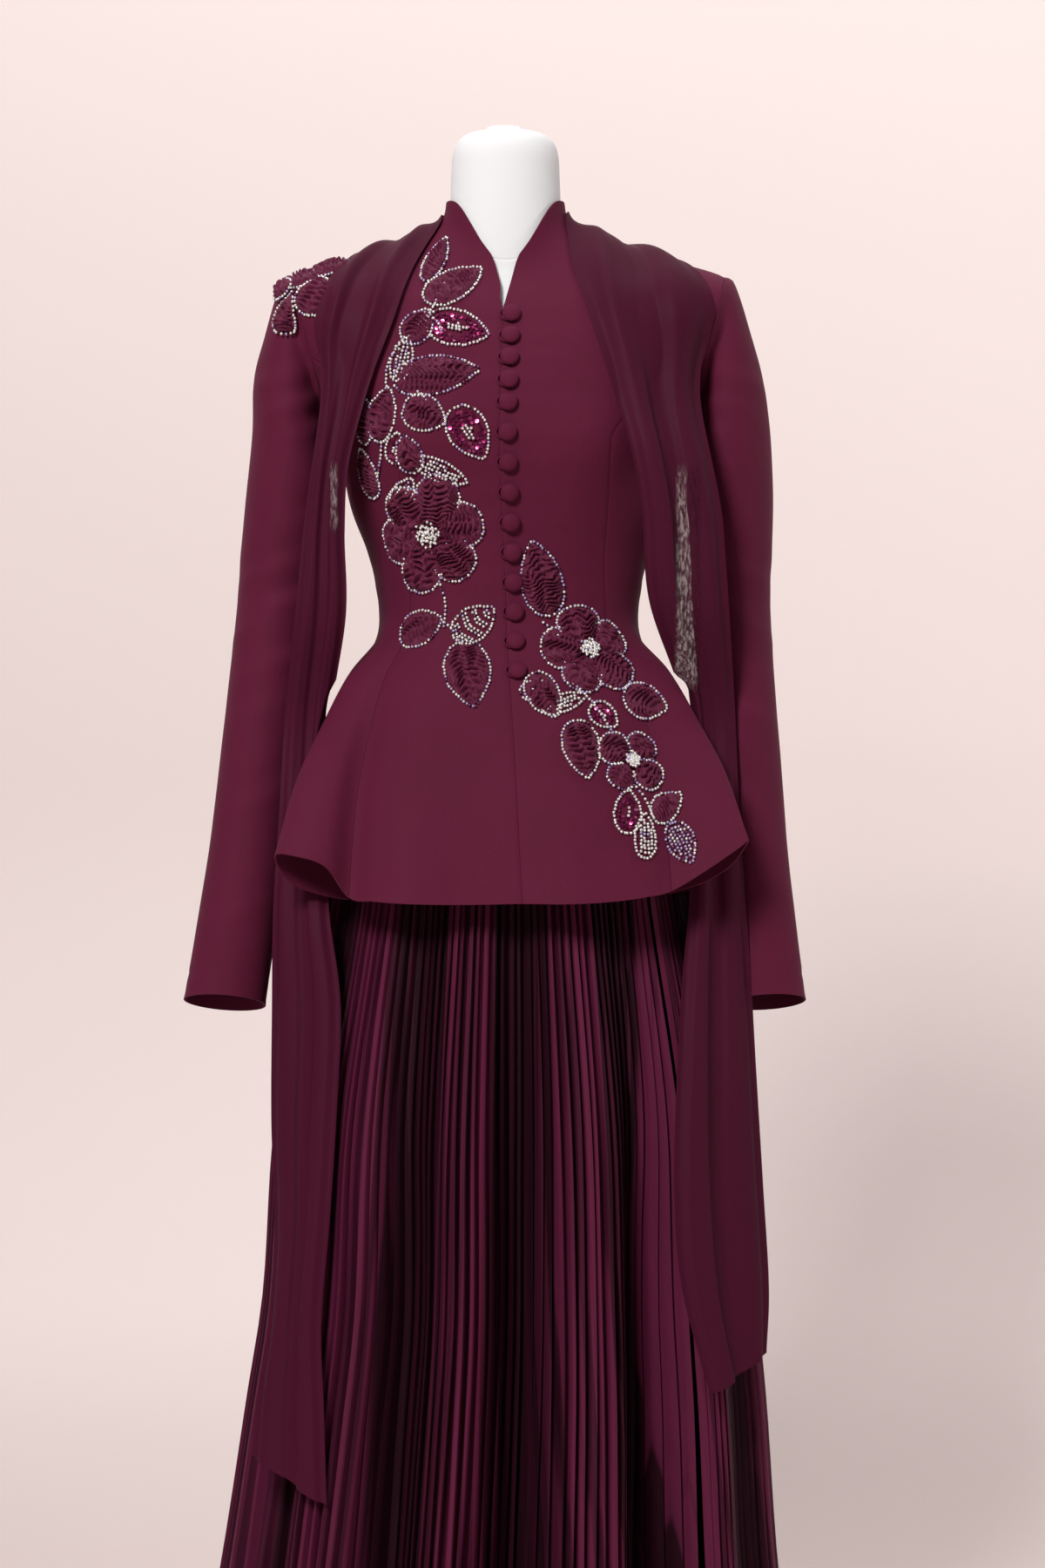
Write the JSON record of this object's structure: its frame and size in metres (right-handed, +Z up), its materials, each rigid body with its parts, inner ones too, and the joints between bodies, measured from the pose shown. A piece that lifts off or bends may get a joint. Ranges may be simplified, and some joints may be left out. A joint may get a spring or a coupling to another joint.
{
  "type": "evening gown on dress form with stand",
  "caption": "Long-sleeved evening gown: fitted peplum jacket with stand collar and covered buttons, pleated skirt and long scarf, on a limbless dress form with a round stand",
  "frame": {"origin": "on the floor, at the middle of the underside of the stand's round base", "axes": "+Z up; the gown faces -Y; +X is towards the wearer's left side"},
  "size_m": [0.5875, 0.5121, 1.5206],
  "materials": {
    "crepe": "matt crepe",
    "satin": "soft sheer satin",
    "chiffon": "fine pleated chiffon",
    "cover": "plain calico",
    "stand": "brushed"
  },
  "bodies": {
    "root": {"jacket_front_left": "crepe", "jacket_side_front_left": "crepe", "jacket_side_back_left": "crepe", "jacket_back_left": "crepe", "jacket_front_right": "crepe", "jacket_side_front_right": "crepe", "jacket_side_back_right": "crepe", "jacket_back_right": "crepe", "sleeve_left": "crepe", "sleeve_right": "crepe", "button_01": "crepe", "button_02": "crepe", "button_03": "crepe", "button_04": "crepe", "button_05": "crepe", "button_06": "crepe", "button_07": "crepe", "button_08": "crepe", "button_09": "crepe", "button_10": "crepe", "button_11": "crepe", "button_12": "crepe", "button_13": "crepe", "button_14": "crepe", "leaf_collar": "crepe", "leaf_neck": "crepe", "leaf_chest_small": "crepe", "leaf_chest_wide": "crepe", "leaf_chest_outer": "crepe", "leaf_bust": "crepe", "leaf_side": "crepe", "leaf_waist_round": "crepe", "leaf_waist_hanging": "crepe", "leaf_bodice_left": "crepe", "leaf_hip_inner": "crepe", "leaf_hip_outer": "crepe", "leaf_peplum": "crepe", "leaf_peplum_tip": "crepe", "leaf_shoulder_low": "crepe", "leaf_shoulder_high": "crepe", "flower_waist_right": "crepe", "flower_waist_left": "crepe", "flower_peplum_left": "crepe", "scarf_neck": "satin", "scarf_end_right": "satin", "scarf_end_left": "satin", "skirt_front": "chiffon", "skirt_side_left": "chiffon", "skirt_back": "chiffon", "skirt_side_right": "chiffon", "skirt_waistband": "chiffon", "form_torso": "cover", "form_neck": "cover", "form_cap": "cover", "stand_base": "stand", "stand_pole": "stand"}
  },
  "joints": []
}
